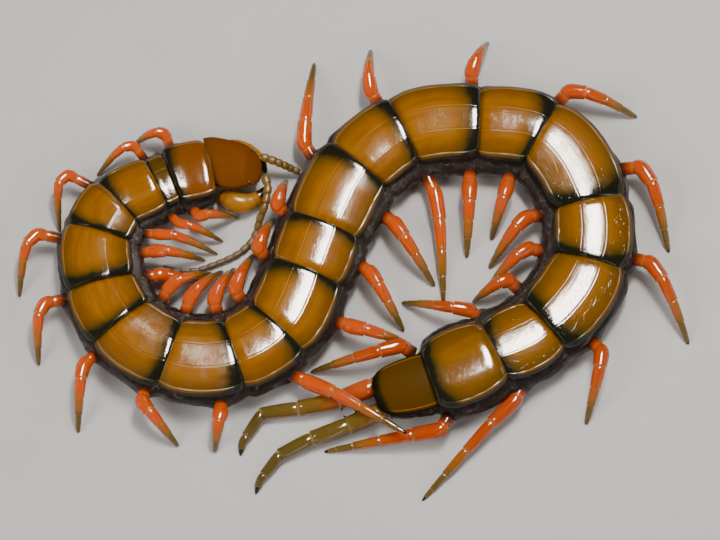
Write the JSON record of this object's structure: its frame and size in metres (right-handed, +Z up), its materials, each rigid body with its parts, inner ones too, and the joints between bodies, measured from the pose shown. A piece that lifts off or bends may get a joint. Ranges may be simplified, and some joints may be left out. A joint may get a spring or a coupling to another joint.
{
  "type": "giant centipede",
  "caption": "Still life-size model of a giant centipede lying in two open loops: flat head with fangs, amber back plates, orange walking legs and trailing tail legs.",
  "frame": {"origin": "centre of the model's footprint in plan, at the floor it lies on", "axes": "+X the long side of the coiled body's footprint and the way the head points, +Y across it in the floor's plane, +Z up"},
  "size_m": [0.122, 0.0884, 0.0095],
  "materials": {
    "chestnut_shell": "glossy chestnut brown head shell",
    "amber_jaw": "glossy amber shell, black at the fang tips",
    "olive_feeler": "satin olive, ringed by short joints",
    "amber_shell": "glossy amber plates with a dark rear band, dark soft flanks",
    "orange_leg": "glossy orange, olive towards the foot, dark claw",
    "olive_leg": "glossy olive, orange at the root"
  },
  "bodies": {
    "root": {"head": "chestnut_shell", "jaw_plate": "amber_jaw", "jaw_left": "amber_jaw", "jaw_right": "amber_jaw", "mouthparts": "amber_jaw", "antenna_left": "olive_feeler", "antenna_right": "olive_feeler", "trunk_01_02": "amber_shell", "trunk_03_04": "amber_shell", "trunk_05_06": "amber_shell", "trunk_07_08": "amber_shell", "trunk_09_10": "amber_shell", "trunk_11_12": "amber_shell", "trunk_13_14": "amber_shell", "trunk_15_16": "amber_shell", "trunk_17_18": "amber_shell", "trunk_19_20": "amber_shell", "trunk_21": "amber_shell", "leg_left_01": "orange_leg", "leg_left_02": "orange_leg", "leg_left_03": "orange_leg", "leg_left_04": "orange_leg", "leg_left_05": "orange_leg", "leg_left_06": "orange_leg", "leg_left_07": "orange_leg", "leg_left_08": "orange_leg", "leg_left_09": "orange_leg", "leg_left_10": "orange_leg", "leg_left_11": "orange_leg", "leg_left_12": "orange_leg", "leg_left_13": "orange_leg", "leg_left_14": "orange_leg", "leg_left_15": "orange_leg", "leg_left_16": "orange_leg", "leg_left_17": "orange_leg", "leg_left_18": "orange_leg", "leg_left_19": "orange_leg", "leg_left_20": "orange_leg", "leg_right_01": "orange_leg", "leg_right_02": "orange_leg", "leg_right_03": "orange_leg", "leg_right_04": "orange_leg", "leg_right_05": "orange_leg", "leg_right_06": "orange_leg", "leg_right_07": "orange_leg", "leg_right_08": "orange_leg", "leg_right_09": "orange_leg", "leg_right_10": "orange_leg", "leg_right_11": "orange_leg", "leg_right_12": "orange_leg", "leg_right_13": "orange_leg", "leg_right_14": "orange_leg", "leg_right_15": "orange_leg", "leg_right_16": "orange_leg", "leg_right_17": "orange_leg", "leg_right_18": "orange_leg", "leg_right_19": "orange_leg", "leg_right_20": "orange_leg", "tail_leg_left": "olive_leg", "tail_leg_right": "olive_leg"}
  },
  "joints": []
}
